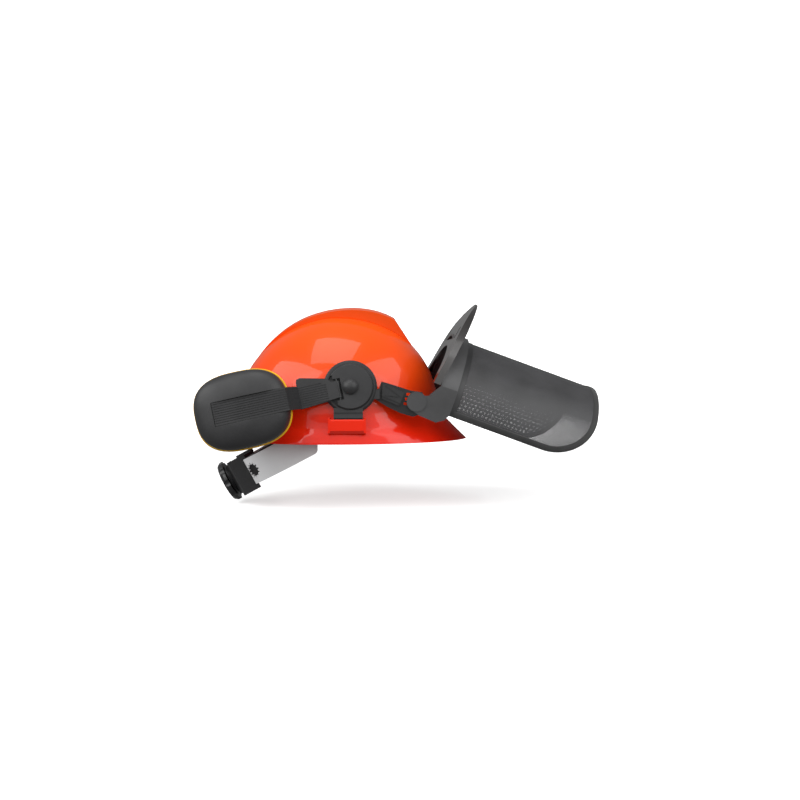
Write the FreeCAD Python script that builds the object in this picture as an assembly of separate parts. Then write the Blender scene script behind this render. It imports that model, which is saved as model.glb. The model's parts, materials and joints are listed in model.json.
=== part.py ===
"""Forestry hard hat: crested shell with a peak, adjustable harness, two ear muffs on swing arms, flip-up visor.

Frame: +X forward, +Y to the wearer's left, +Z up, in millimetres. The origin is the head seat: the middle of
the headband, level with the shell's rim. The hat is drawn as it is put away: muffs parked at the back, visor
raised.
"""
import FreeCAD
import Part
import math
import os
from FreeCAD import Matrix, Vector

# ---- shell ---------------------------------------------------------------------------------------
WAIST_Z = 30.0          # height where the dome starts above the rim
DOME_H = 117.0          # dome height above the waist
FRONT, REAR, SIDE = 122.0, 122.0, 101.0     # half lengths of the dome at the waist
FRONT_POWER, REAR_POWER, SIDE_POWER = 2.1, 1.85, 2.0   # how full the dome is towards each end
WALL = 2.6              # shell thickness
PEAK_TIP = 156.0        # rim at the front
RIM_REAR, RIM_SIDE = 129.0, 106.5
CREST_AXIS_Z = 55.0     # the crest is turned about a lengthwise axis at this height
CREST_HALF_ANGLE = 17.0
CREST_TOP = [(-104, 84), (-80, 116.5), (-41, 144.5), (-20, 152), (17, 157), (45, 154), (68, 145)]
CREST_LIP = (88.5, 114)  # foot of the crest's front face

# ---- ear muffs -----------------------------------------------------------------------------------
DISC_X, DISC_Y, DISC_Z = 15.5, 99.0, 63.0   # centre of the muff pivot on the adapter's back; right is -Y
MUFF_TILT = 6.0         # the pivot faces up by this much
PARK_ANGLE = 12.5       # the parked arm drops this far towards the back
RING_R, DISC_R = 29.6, 25.0
HINGE_U, HINGE_W = 13.5, 7.6                # the arm's click hinge, along and out of the disc
ARM_THICK, RIB_DEPTH = 2.6, 0.8
CUP_U = 118.5           # cup centre along the arm
CUP_LONG, CUP_WIDE = 103.0, 84.0
CUSHION_W, PLATE_W, CUP_W, CUP_TOP_W = 1.4, 13.0, 17.0, 40.0    # heights of the muff's layers out of the disc
STRIP_END = 147.6       # where the ribbed strip ends on the cup
STRIP_HALF = 12.4

# ---- visor ---------------------------------------------------------------------------------------
PIVOT = Vector(88.7, 0, 47.2)               # visor hinge line
RAISED = 70.0           # how far the visor is raised from its worn place
BAND_A, BAND_B, BAND_T = 91.5, 104.0, 3.0   # the band's outer half ellipse and its thickness
BAND_TOP, BAND_LOW = -20.0, -39.5           # its edges below the hinge line, when worn
MESH_DROP = 165.0       # mesh below the band
CORNER_R = 54.0         # lower corners of the mesh
BINDING = 7.0           # width of the edge binding
GUARD_TIP = 134.4       # brow guard's tip forward of the hinge line

# ---- harness -------------------------------------------------------------------------------------
BAND_FRONT, BAND_SIDE = 95.0, 78.0          # headband's outer half ellipse
NAPE_START = Vector(-22.0, 0, 6.6)          # where the nape straps begin
NAPE_SLOPE = 28.5       # the straps fall towards the back by this much
NAPE_A, NAPE_B, NAPE_T = 109.0, 79.3, 2.0   # the straps' outer half ellipse and thickness
NAPE_HALF = 16.0        # half the straps' height
STRAP_FRONT = -21.5     # their front ends
FRONT_CORNER_R = 6.0    # radius of their lower front corners
STUD = Vector(-35.0, 0, 6.0)                # the straps' rivets, on both sides
LUG_ANGLES = (40.0, 140.0, 220.0, 320.0)
TOOTH_PITCH_R, TEETH = 6.25, 10

PARTS = {}


# ---- small helpers -------------------------------------------------------------------------------
def keep(name, *shapes):
    """Files the solids of these shapes as one node."""
    solids = [s for shape in shapes for s in shape.Solids]
    PARTS[name] = solids[0] if len(solids) == 1 else Part.makeCompound(solids)


def block(x, y, z):
    """Box from three (low, high) pairs."""
    return Part.makeBox(x[1] - x[0], y[1] - y[0], z[1] - z[0], Vector(x[0], y[0], z[0]))


def rod(radius, start, end):
    axis = end - start
    return Part.makeCylinder(radius, axis.Length, start, axis)


def prism(points, thickness):
    """Straight-sided prism on a closed loop of points, swept along the vector thickness."""
    loop = [Vector(*p) for p in points]
    return Part.Face(Part.makePolygon(loop + loop[:1])).extrude(thickness)


def superellipse(front, rear, side, power, z, count=48):
    """Closed smooth wire at height z, with its own half length to the front and to the rear."""
    points = []
    for i in range(count):
        angle = 2 * math.pi * i / count
        c, s = math.cos(angle), math.sin(angle)
        x = math.copysign(abs(c) ** (2 / power), c) * (front if c > 0 else rear)
        y = math.copysign(abs(s) ** (2 / power), s) * side
        points.append(Vector(x, y, z))
    curve = Part.BSplineCurve()
    curve.interpolate(Points=points, PeriodicFlag=True)
    return Part.Wire(curve.toShape())


def loft(wires):
    return Part.makeLoft(wires, True, False)


def oval(a, b, z0, z1):
    """Elliptical cylinder about Z, a along X."""
    if a >= b:
        edge = Part.Ellipse(Vector(0, 0, z0), a, b).toShape()
    else:
        turned = Part.Ellipse(Vector(0, 0, z0), b, a).toShape()
        turned.rotate(Vector(0, 0, z0), Vector(0, 0, 1), 90)
        edge = turned
    return Part.Face(Part.Wire(edge)).extrude(Vector(0, 0, z1 - z0))


def hoop(a, b, thick, z0, z1, x_from):
    """The part of an elliptical ring forward of x_from."""
    ring = oval(a, b, z0, z1).cut(oval(a - thick, b - thick, z0 - 1, z1 + 1))
    return ring.common(block((x_from, a + 1), (-b - 1, b + 1), (z0 - 1, z1 + 1)))


def mirrored(shape):
    return shape.mirror(Vector(0, 0, 0), Vector(0, 1, 0))


def both_sides(name, shape):
    keep(name + "_right", shape)
    keep(name + "_left", mirrored(shape))


# ---- shell ---------------------------------------------------------------------------------------
def dome_scale(z, power, height):
    return (1 - min(1.0, (z - WAIST_Z) / height) ** power) ** (1 / power)


def skirt_section(z, inset, flare):
    """The wall below the waist turns out into the brim, by the share flare, and into the peak."""
    t = 1 - z / WAIST_Z
    front = FRONT + 4 + (PEAK_TIP - FRONT - 4) * t ** 1.05
    rear = REAR + (RIM_REAR - REAR) * flare
    side = SIDE + (RIM_SIDE - SIDE) * flare
    return superellipse(front - inset, rear - inset, side - inset, 2.0 + 0.1 * t, z)


def dome_solid(inset):
    """Dome with its skirt, closed below the rim when it is the inner one."""
    wires = []
    low = 0.0 if inset == 0 else -2.0
    for z, flare in ((0.0, 1.0), (4.0, 0.93), (9.0, 0.78), (13.0, 0.52), (16.5, 0.22), (22.0, 0.06)):
        wires.append(skirt_section(z, inset, flare))
    wires[0].translate(Vector(0, 0, low))
    height = DOME_H - inset
    for share in (0.0, 0.13, 0.26, 0.4, 0.54, 0.67, 0.78, 0.87, 0.93, 0.97, 0.99):
        z = WAIST_Z + height * share
        sizes = [size * dome_scale(z, power, height) - inset * (1 - share)
                 for size, power in ((FRONT, FRONT_POWER), (REAR, REAR_POWER), (SIDE, SIDE_POWER))]
        wires.append(superellipse(*sizes, 2.0, z + 2.5 if share == 0.0 else z))
    return loft(wires)


def crest_solid(inset):
    """Crest: its side profile turned about a lengthwise axis, so that it is rounded across like the dome."""
    top = [Vector(x, 0, z - inset) for x, z in CREST_TOP]
    top[-1].x -= inset
    curve = Part.BSplineCurve()
    curve.interpolate(top)
    lip = Vector(CREST_LIP[0] - inset, 0, CREST_LIP[1] - inset)
    foot = Vector(lip.x - 20, 0, 100)
    back = Vector(top[0].x + 30, 0, 84)
    lines = [Part.makeLine(top[-1], lip), Part.makeLine(lip, foot), Part.makeLine(foot, back),
             Part.makeLine(back, top[0])]
    face = Part.Face(Part.Wire([curve.toShape()] + lines))
    half = CREST_HALF_ANGLE - math.degrees(inset / 100.0)
    axis = Vector(0, 0, CREST_AXIS_Z)
    face.rotate(axis, Vector(1, 0, 0), -half)
    return face.revolve(axis, Vector(1, 0, 0), 2 * half)


def lug_placed(shape, angle):
    """From the lug's own frame (X outward) to its place in the shell."""
    placed = shape.copy()
    placed.rotate(Vector(0, 0, 0), Vector(0, 0, 1), angle)
    return placed


def make_shell():
    outer = dome_solid(0).fuse(crest_solid(0))
    shell = outer.cut(dome_solid(WALL)).cut(crest_solid(WALL))
    seat = prism([(-9, -100.5, 28), (-9, -109.4, 28), (-9, -110, 26.5), (-9, -110, 15.5), (-9, -107, 12),
                  (-9, -100.5, 12)], Vector(41.5, 0, 0))
    seat = seat.fuse([block((x, x + 2.2), (-110.3, -100.5), (13, 29.4)) for x in (-9, 30.3)])
    seat = seat.cut(adapter_placed(block((-14.0, 18.4), (34, 48.5), (1.6, 4.2))))
    for accessory_seat in (seat, mirrored(seat)):
        shell = shell.fuse(accessory_seat.cut(dome_solid(WALL)))
    socket = block((101.5, 109.5), (-13.5, 13.5), (9, 30)).cut(block((103.0, 107.0), (-10.6, 10.6), (8, 27)))
    for angle in LUG_ANGLES:
        shell = shell.fuse(lug_placed(socket, angle))
    keep("shell", shell.removeSplitter())


# ---- ear muffs -----------------------------------------------------------------------------------
def muff_axes(turn):
    """Unit vectors along the arm, across it and out of the disc, on the right, the arm turned down by turn."""
    tilt, angle = math.radians(MUFF_TILT), math.radians(turn)
    out = Vector(0, -math.cos(tilt), math.sin(tilt))
    back, down = Vector(-1, 0, 0), Vector(0, -math.sin(tilt), -math.cos(tilt))
    along = back * math.cos(angle) + down * math.sin(angle)
    return along, out.cross(along), out


def muff_placed(shape, turn=PARK_ANGLE):
    """From the arm's frame (along, across, out) to the hat, right side."""
    u, v, w = muff_axes(turn)
    placed = shape.copy()
    frame = Matrix(u.x, v.x, w.x, DISC_X, u.y, v.y, w.y, -DISC_Y, u.z, v.z, w.z, DISC_Z, 0, 0, 0, 1)
    placed.Placement = FreeCAD.Placement(frame).multiply(placed.Placement)
    return placed


def adapter_placed(shape):
    return muff_placed(shape, 0.0)


def make_adapter():
    """Fixed base: a bevelled ring that the disc turns in, and a foot whose blade plugs into the seat."""
    ring = Part.makeCylinder(RING_R, 4).fuse(Part.makeCone(RING_R, RING_R - 2.4, 2.6, Vector(0, 0, 4)))
    ring = ring.cut(Part.makeCylinder(DISC_R + 0.4, 9, Vector(0, 0, 3)))
    post = Part.makeCylinder(5.0, 9.6)
    foot = block((-13.8, 18.2), (23, 34.6), (0.6, 7.2)).cut(Part.makeCylinder(DISC_R + 0.4, 9, Vector(0, 0, 3)))
    groove = block((-20, 25), (28.4, 30.6), (6.0, 9))
    blade = block((-13.6, 18.0), (34.6, 47.5), (1.9, 3.9))
    tongue_slot = Part.makeBox(8, 10.6, 3.6, Vector(-33, 3.0, 1.6))
    body = ring.fuse(post).fuse(foot.cut(groove)).fuse(blade).cut(tongue_slot)
    both_sides("muff_adapter", adapter_placed(body.removeSplitter()))
    cap = Part.makeSphere(10.2, Vector(0, 0, 6.6)).common(Part.makeCylinder(8.6, 12, Vector(0, 0, 10.3)))
    both_sides("pivot_cap", adapter_placed(cap))


def make_disc():
    """Turning disc with a notch for the arm's hinge, its pin and the leaf that clicks the arm out."""
    disc = Part.makeCylinder(DISC_R, 5.4, Vector(0, 0, 3.4)).fuse(
        Part.makeCone(DISC_R, DISC_R - 1.2, 1.2, Vector(0, 0, 8.8)))
    disc = disc.cut(Part.makeCylinder(5.06, 12))
    notch = block((9.3, 30), (-12.0, 12.0), (4.6, 12)).fuse(block((17.2, 30), (-16.5, 16.5), (4.6, 12)))
    pin_hole = rod(1.5, Vector(HINGE_U, -16.8, HINGE_W), Vector(HINGE_U, 16.8, HINGE_W))
    disc = disc.cut(notch).cut(pin_hole).removeSplitter()
    both_sides("muff_disc", muff_placed(disc))
    pin = rod(1.5, Vector(HINGE_U, -16.8, HINGE_W), Vector(HINGE_U, 16.8, HINGE_W))
    both_sides("arm_hinge_pin", muff_placed(pin))
    both_sides("click_leaf", muff_placed(block((16.4, 24.4), (-7, 7), (4.6, 5.3))))


def arm_centre_line():
    """The strip's middle line in the plane of its bends: over the disc, out past the brim, along the cup."""
    return [(HINGE_U, 10.9), (57.5, 10.9), (69.5, 34.7), (STRIP_END, 37.2)]


def make_arm():
    line = arm_centre_line()
    half = ARM_THICK / 2
    upper = [(u - (half if 40 < u < 75 else 0), w + half) for u, w in line]
    lower = [(u + (half if 40 < u < 75 else 0), w - half) for u, w in line]
    side = prism([(u, -20, w) for u, w in upper + lower[::-1]], Vector(0, 40, 0))
    outline = prism([(HINGE_U, -9, 0), (50, -STRIP_HALF, 0), (STRIP_END, -STRIP_HALF, 0),
                     (STRIP_END, STRIP_HALF, 0), (50, STRIP_HALF, 0), (HINGE_U, 9, 0)], Vector(0, 0, 60))
    barrel = rod(2.9, Vector(HINGE_U, -9, HINGE_W), Vector(HINGE_U, 9, HINGE_W))
    barrel = barrel.fuse(block((HINGE_U, 16.4), (-9, 9), (HINGE_W, 10)))
    barrel = barrel.common(block((9, 20), (-20, 20), (4.9, 12)))
    strip = side.common(outline).fuse(barrel)
    strip = strip.cut(rod(1.56, Vector(HINGE_U, -20, HINGE_W), Vector(HINGE_U, 20, HINGE_W)))
    (u0, w0), (u1, w1), (u2, w2), (u3, w3) = upper
    above = [(u0 + 12, w0 + 1), (u1, w1 + 1), (u2 - 0.6, w2 + 1), (STRIP_END + 1, w3 + 1)]
    valley = [(STRIP_END + 1, w3 - RIB_DEPTH), (u2, w2 - RIB_DEPTH), (u1, w1 - RIB_DEPTH), (u0 + 12, w0 - RIB_DEPTH)]
    ribs = [prism([(u, 2.5 * i - 0.55, w) for u, w in above + valley], Vector(0, 1.1, 0)) for i in range(-4, 5)]
    both_sides("muff_arm", muff_placed(strip.cut(ribs)))
    plate = prism([(20, -10.5, 8.1), (23, -14.2, 8.1), (52, -21.2, 8.1), (56, -20.2, 8.1), (57.2, -16.5, 8.1),
                   (57.2, 13.0, 8.1), (26, 11, 8.1), (20, 8, 8.1)], Vector(0, 0, 1.4))
    both_sides("arm_plate", muff_placed(plate))


def cup_section(w, scale, inset=0.0):
    long, wide = CUP_LONG / 2 * scale - inset, CUP_WIDE / 2 * scale - inset
    wire = superellipse(long, long, wide, 2.7, w)
    wire.translate(Vector(CUP_U, 0, 0))
    return wire


def make_cup():
    """Cup: moulded outer shell with a channel for the strip, coloured seal plate, foam liner and cushion."""
    dome = ((CUP_W, 0.985), (23, 0.985), (29, 0.955), (33.5, 0.88), (37, 0.74), (39.2, 0.54), (CUP_TOP_W, 0.3))
    outer = loft([cup_section(w, scale) for w, scale in dome])
    inner = loft([cup_section(w, s, 2.4) for w, s in ((CUP_W - 1, 0.985), (22, 0.985), (27, 0.955), (31, 0.85),
                                                      (33.0, 0.7), (34.0, 0.45))])
    low, high = 35.7, 45.0
    channel = block((50, STRIP_END + 0.5), (-STRIP_HALF - 0.4, STRIP_HALF + 0.4), (20, high))
    end = STRIP_END + 1
    floor = prism([(72.5, -20, 19), (72.5, -20, 32.9), (end, -20, low - 0.2), (end, -20, 19)], Vector(0, 40, 0))
    floor = floor.fuse(block((50, 73), (-20, 20), (19, 27)))
    shell = outer.cut(inner).cut(channel.cut(floor))
    both_sides("cup_shell", muff_placed(shell.removeSplitter()))
    plate = loft([cup_section(PLATE_W, 1.005), cup_section(PLATE_W + 2, 1.02), cup_section(CUP_W, 1.0)])
    plate = plate.cut(loft([cup_section(PLATE_W - 1, 0.66), cup_section(CUP_W + 1, 0.66)]))
    both_sides("seal_plate", muff_placed(plate))
    cushion = loft([cup_section(CUSHION_W, 0.8), cup_section(CUSHION_W + 3, 0.92), cup_section(5, 0.97),
                    cup_section(PLATE_W - 2, 0.95), cup_section(PLATE_W - 0.2, 0.9)])
    cushion = cushion.cut(loft([cup_section(CUSHION_W - 1, 0.56), cup_section(PLATE_W + 1, 0.56)]))
    both_sides("ear_cushion", muff_placed(cushion))
    liner = loft([cup_section(CUP_W + 0.3, 0.9), cup_section(CUP_W + 6, 0.9)]).cut(
        loft([cup_section(CUP_W + 0.2, 0.5), cup_section(CUP_W + 3, 0.42)]))
    both_sides("foam_liner", muff_placed(liner))


# ---- visor ---------------------------------------------------------------------------------------
def visor_placed(shape):
    """From the worn visor's frame, with its origin on the hinge line, to the raised visor."""
    placed = shape.copy()
    placed.translate(PIVOT)
    placed.rotate(PIVOT, Vector(0, 1, 0), -RAISED)
    return placed


def side_profile(inset, top):
    """The mesh's outline from the side, when worn: straight down, round the corner and along the chin edge."""
    back, low = -3.0 + inset, BAND_LOW - MESH_DROP + inset
    radius = CORNER_R - inset
    start, end = Vector(back, -120, low + radius), Vector(back + radius, -120, low)
    bend = 1 - math.sqrt(0.5)
    middle = Vector(back + radius * bend, -120, low + radius * bend)
    corners = [end, Vector(120, -120, low), Vector(120, -120, top), Vector(back, -120, top), start]
    edges = [Part.Arc(start, middle, end).toShape()]
    edges += [Part.makeLine(a, b) for a, b in zip(corners, corners[1:])]
    return Part.Face(Part.Wire(edges)).extrude(Vector(0, 240, 0))


def make_visor_frame():
    band = hoop(BAND_A, BAND_B, BAND_T, BAND_LOW, BAND_TOP, 0)
    for side in (-1, 1):
        cheek = Part.makeCylinder(11, BAND_T, Vector(0, 0, 0), Vector(0, 1, 0)).fuse(
            prism([(-11, 0, 2), (-13.5, 0, -8), (-14.5, 0, -28), (-9, 0, -36), (-2, 0, BAND_LOW),
                   (12, 0, BAND_LOW), (12, 0, -13), (7.5, 0, -3), (9, 0, 5)], Vector(0, BAND_T, 0)))
        web = prism([(12, 0, BAND_LOW), (26, 0, BAND_LOW), (26, 0, BAND_TOP), (12, 0, -11)],
                    Vector(0, BAND_T, 0))
        inner = BAND_B - BAND_T if side > 0 else -BAND_B
        boss = Part.makeCylinder(11, 1.2, Vector(0, side * BAND_B - (0 if side > 0 else 1.2), 0),
                                 Vector(0, 1, 0))
        for piece in (cheek, web):
            piece.translate(Vector(0, inner, 0))
        bore = Part.makeCylinder(4.05, 3.2, Vector(0, side * (BAND_B - BAND_T) - (0 if side > 0 else 3.2), 0),
                                 Vector(0, 1, 0))
        web = web.cut(oval(BAND_A - 4, BAND_B - BAND_T - 0.1, -60, 20))
        band = band.fuse(cheek).fuse(web).fuse(boss).cut(bore)
    keep("visor_frame", visor_placed(band.removeSplitter()))


def under(profile, low):
    """Everything below a smooth side profile, right across the hat."""
    curve = Part.BSplineCurve()
    curve.interpolate([Vector(x, -120, z) for x, z in profile])
    (x0, z0), (x1, z1) = profile[0], profile[-1]
    corners = [Vector(x1, -120, z1), Vector(x1, -120, low), Vector(x0, -120, low), Vector(x0, -120, z0)]
    edges = [curve.toShape()] + [Part.makeLine(a, b) for a, b in zip(corners, corners[1:])]
    return Part.Face(Part.Wire(edges)).extrude(Vector(0, 240, 0))


def make_brow_guard():
    """Thin hollow bill that laps over the band's upper edge, open towards the head, with two slots on top."""
    skin, gap = 2.0, 0.15
    top = [(26.3, -11), (35, -12.2), (47, -14.4), (63, -16.8), (81, -19.6), (98, -22.6), (114, -26.7),
           (124, -30.2), (136, -35.2)]
    lower = [(26.3, -19), (36, -20.3), (48, -22.4), (61, -24.6), (76, -27.2), (85.5, -28.9), (106, -32.1),
             (121.5, -34.4), (136, -37)]
    bill = oval(GUARD_TIP, BAND_B, -60, 20).common(under(top, -60)).cut(under(lower, -61))
    bill = bill.cut(oval(BAND_A + gap, BAND_B + gap, -61, BAND_TOP)).cut(oval(75.5, 88.0, -61, 21))
    bill = bill.common(block((26.4, 140), (-120, 120), (-60, 20)))
    ceiling, floor = [(x, z - skin) for x, z in top], [(x, z + skin) for x, z in lower]
    hollow = oval(GUARD_TIP - 2 * skin, BAND_B - skin, -60, 20)
    hollow = hollow.common(under(ceiling, -60)).cut(under(floor, -61))
    guard = bill.cut(hollow)
    for side in (-1, 1):
        guard = guard.cut(block((84, 99), (side * 50 - 3, side * 50 + 3), (-26, 20)))
    keep("brow_guard", visor_placed(guard.removeSplitter()))


def make_mesh():
    """Mesh between a header strip behind the band and a binding round its free edges."""
    gap = 0.25
    a, b = BAND_A - BAND_T - gap, BAND_B - BAND_T - gap
    low = BAND_LOW - MESH_DROP
    header = hoop(a, b, 1.6, BAND_LOW - BINDING, BAND_TOP - 3, -3)
    keep("mesh_header", visor_placed(header))
    top = BAND_LOW - BINDING
    thick = hoop(a + 0.6, b + 0.6, 2.8, low - 1, top, -10).common(side_profile(0, top))
    binding = thick.cut(side_profile(BINDING, top + 5))
    keep("mesh_binding", visor_placed(binding))
    sheet = hoop(a - 0.4, b - 0.4, 0.8, low - 1, top, -10).common(side_profile(BINDING, top))
    keep("visor_mesh", visor_placed(sheet))
    studs = []
    for angle in (-62, -38, -13, 13, 38, 62):
        c, s = math.cos(math.radians(angle)), math.sin(math.radians(angle))
        face = Vector((a - 1.6) * c, (b - 1.6) * s, -32)
        inward = Vector(-c / a, -s / b, 0).normalize()
        studs.append(rod(3.0, face + inward * 0.15, face + inward * 1.4))
    keep("mesh_studs", visor_placed(Part.makeCompound(studs)))


def make_carriers():
    """Fixed side arms: a blade from the adapter to the visor hinge, its clip, the hinge pin and washer."""
    low, high = -100.0, -96.6
    blade = prism([(43.6, low, 49.5), (56, low, 41.6), (71, low, 34.4), (85, low, 30.3), (93, low, 33),
                   (99, low, 40), (100, low, 50), (95, low, 57.5), (82, low, 59.5), (62, low, 66),
                   (50, low, 69.5)], Vector(0, high - low, 0))
    for i in range(3):
        x, z = 74.6 + 1.5 * i, 43.2 + 5.2 * i
        blade = blade.cut(block((x, x + 4.4), (low - 1, high + 1), (z, z + 3.2)))
    tongue = adapter_placed(Part.makeBox(7.0, 10.0, 3.0, Vector(-32.2, 3.3, 1.9)))
    stem = block((44.6, 48.6), (-103.6, low), (50.5, 61.5))
    bore = rod(4.0, Vector(PIVOT.x, -90, PIVOT.z), Vector(PIVOT.x, -120, PIVOT.z))
    carrier = blade.fuse(tongue).fuse(stem).cut(bore)
    carrier = carrier.cut(adapter_placed(Part.makeCylinder(RING_R + 0.2, 20, Vector(0, 0, -10)).cut(
        Part.makeBox(8, 10.2, 3.2, Vector(-33, 3.2, 1.8)))))
    both_sides("visor_carrier", carrier.removeSplitter())
    clip_face = low - 3.8
    clip = prism([(51.2, clip_face, 68), (75.4, clip_face, 57.2), (69.4, clip_face, 42.4),
                  (50.2, clip_face, 50.4)], Vector(0, 3.7, 0)).cut(stem)
    ledge = prism([(70, clip_face, 45.4), (69, clip_face, 40), (49, clip_face, 48.4), (50, clip_face, 53.8)],
                  Vector(0, 1.0, 0))
    tip, grooves = Vector(71.2, clip_face, 51.6), []
    for start in (Vector(54.4, clip_face, 64.4), Vector(53.4, clip_face, 53.6)):
        side = (tip - start).cross(Vector(0, 1, 0)).normalize() * 0.55
        grooves.append(prism([start - side, start + side, tip + side, tip - side], Vector(0, 0.6, 0)))
    clip = clip.cut(ledge).cut(grooves)
    both_sides("carrier_clip", clip.removeSplitter())
    washer = rod(9.0, Vector(PIVOT.x, low - 0.1, PIVOT.z), Vector(PIVOT.x, -100.8, PIVOT.z))
    washer = washer.cut(rod(4.3, Vector(PIVOT.x, -90, PIVOT.z), Vector(PIVOT.x, -120, PIVOT.z)))
    both_sides("hinge_washer", washer)
    pin = rod(4.0, Vector(PIVOT.x, -96.6, PIVOT.z), Vector(PIVOT.x, -104.0, PIVOT.z)).fuse(
        rod(7.5, Vector(PIVOT.x, -94.6, PIVOT.z), Vector(PIVOT.x, -96.6, PIVOT.z)))
    both_sides("hinge_pin", pin.removeSplitter())


# ---- harness -------------------------------------------------------------------------------------
def make_headband():
    band = hoop(BAND_FRONT, BAND_SIDE, 1.8, 3, 37, -42)
    keep("headband", band.cut(rod(2.0, STUD + Vector(0, 90, 0), STUD - Vector(0, 90, 0))))
    pad = hoop(BAND_FRONT - 2.1, BAND_SIDE - 2.1, 4.5, 5, 34, 30)
    keep("brow_pad", pad)


def make_crown():
    """Four keys in the shell's sockets, and two webbing straps that cross over the head."""
    keys, clips = [], []
    key = block((103.2, 106.8), (-10.3, 10.3), (5, 26.6)).fuse(block((91.2, 106.8), (-10.3, 10.3), (2, 5)))
    key = key.fuse(block((91.2, 94.0), (-12, 12), (2, 31)))
    clip = block((87.9, 89.2), (-4, 4), (12, 26))
    for angle in LUG_ANGLES:
        keys.append(lug_placed(key.removeSplitter(), angle))
        clips.append(lug_placed(clip, angle))
    keep("harness_keys", *keys)
    keep("headband_clips", *clips)
    for name, angle, rise in (("crown_strap_a", 40.0, 96.0), ("crown_strap_b", 140.0, 99.0)):
        half = 10.0
        radius, thick, foot = 91.0, 1.5, 20.0
        arch = []
        for shrink in (0.0, thick):
            big, small = rise - shrink, radius - shrink
            ring = Part.Ellipse(Vector(0, 0, 0), big, small).toShape()
            solid = Part.Face(Part.Wire(ring)).extrude(Vector(0, 0, 2 * half))
            solid.rotate(Vector(0, 0, 0), Vector(0, 1, 0), -90)
            solid.rotate(Vector(0, 0, 0), Vector(0, 0, 1), 90)
            solid.translate(Vector(0, 0, foot) - solid.BoundBox.Center)
            arch.append(solid)
        band = arch[0].cut(arch[1]).common(block((-100, 100), (-20, 20), (foot, foot + 120)))
        sides = ((-radius, -radius + thick), (radius - thick, radius))
        legs = [block(x, (-half, half), (8, foot)) for x in sides]
        keep(name, lug_placed(band.fuse(legs).removeSplitter(), angle))


def nape_placed(shape):
    """From the nape straps' own frame (X back along them, Z square to them) to the hat."""
    slope = math.radians(NAPE_SLOPE)
    back = Vector(-math.cos(slope), 0, -math.sin(slope))
    up = Vector(-math.sin(slope), 0, math.cos(slope))
    side = up.cross(back)
    placed = shape.copy()
    frame = Matrix(back.x, side.x, up.x, NAPE_START.x, back.y, side.y, up.y, NAPE_START.y,
                   back.z, side.z, up.z, NAPE_START.z, 0, 0, 0, 1)
    placed.Placement = FreeCAD.Placement(frame).multiply(placed.Placement)
    return placed


def gear(tip, root, teeth, start, length, phase=0.0):
    """Straight-toothed wheel about the nape frame's X axis."""
    loop = []
    for i in range(teeth):
        for radius, offset in ((root, -0.30), (tip, -0.13), (tip, 0.13), (root, 0.30)):
            angle = 2 * math.pi * (i + offset + phase) / teeth + math.pi / 2
            loop.append((start, radius * math.cos(angle), radius * math.sin(angle)))
    return prism(loop, Vector(length, 0, 0))


def front_corner():
    """What rounds off the straps' lower front corner, right across the hat."""
    slope = math.radians(NAPE_SLOPE)
    low_x = (STRAP_FRONT - NAPE_START.x - NAPE_HALF * math.sin(slope)) / -math.cos(slope)
    corner = nape_placed(Part.Vertex(low_x, 0, -NAPE_HALF)).Point
    rise = FRONT_CORNER_R * math.tan(math.pi / 4 - slope / 2)
    square = Vector(math.sin(slope), 0, -math.cos(slope))
    centre = Vector(corner.x - FRONT_CORNER_R, -120, corner.z + rise)
    outside = [centre, centre + Vector(FRONT_CORNER_R + 2, 0, 0), Vector(corner.x + 2, -120, corner.z - 4),
               centre + square * (FRONT_CORNER_R + 2)]
    return prism(outside, Vector(0, 240, 0)).cut(rod(FRONT_CORNER_R, centre, centre + Vector(0, 240, 0)))


def make_nape_straps():
    """Each strap runs from the headband to the nape. One rack passes over the drive pinion and one under it."""
    pitch = 2 * math.pi * TOOTH_PITCH_R / TEETH
    overlap, reach = 40.0, 28.0
    full = hoop(NAPE_A, NAPE_B, NAPE_T, -NAPE_HALF, NAPE_HALF, -12)
    for side, name in ((1, "nape_strap_right"), (-1, "nape_strap_left")):
        up = -side
        arm = full.common(block((-20, 120), (overlap, 90) if side > 0 else (-90, -overlap), (-30, 30)))
        near, far = TOOTH_PITCH_R + 1.6, NAPE_HALF - 0.6
        level = (near, far) if up > 0 else (-far, -near)
        spread = (-reach, overlap) if side > 0 else (-overlap, reach)
        rack = full.common(block((60, 120), spread, level))
        tooth_low, tooth_high = TOOTH_PITCH_R - 1.1, near + 0.1
        for i in range(-7, 7):
            y = (i + 0.5) * pitch
            z = (tooth_low, tooth_high) if up > 0 else (-tooth_high, -tooth_low)
            rack = rack.fuse(full.common(block((60, 120), (y - 0.75, y + 0.75), z)))
        strap = arm.fuse(rack)
        c, s = 0.785, 0.62 * side
        spot = Vector((NAPE_A - 1) * c, (NAPE_B - 1) * s, 0)
        window = gear(9.6, 7.4, 12, -6, 12)
        window.rotate(Vector(0, 0, 0), Vector(0, 0, 1), math.degrees(math.atan2(s / NAPE_B, c / NAPE_A)))
        window.translate(spot)
        strap = nape_placed(strap.cut(window).removeSplitter())
        strap = strap.cut(block((STRAP_FRONT, 60), (-120, 120), (-60, 60))).cut(front_corner())
        keep(name, strap.cut(rod(2.1, STUD + Vector(0, 90, 0), STUD - Vector(0, 90, 0))))
    studs = []
    for side in (-1, 1):
        shank = rod(1.95, STUD + Vector(0, side * 68.5, 0), STUD + Vector(0, side * 80.2, 0))
        heads = [rod(3.6, STUD + Vector(0, side * y, 0), STUD + Vector(0, side * (y + 1.2), 0))
                 for y in (67.6, 79.4)]
        studs.append(shank.fuse(heads).removeSplitter())
    keep("strap_studs", *studs)


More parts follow.
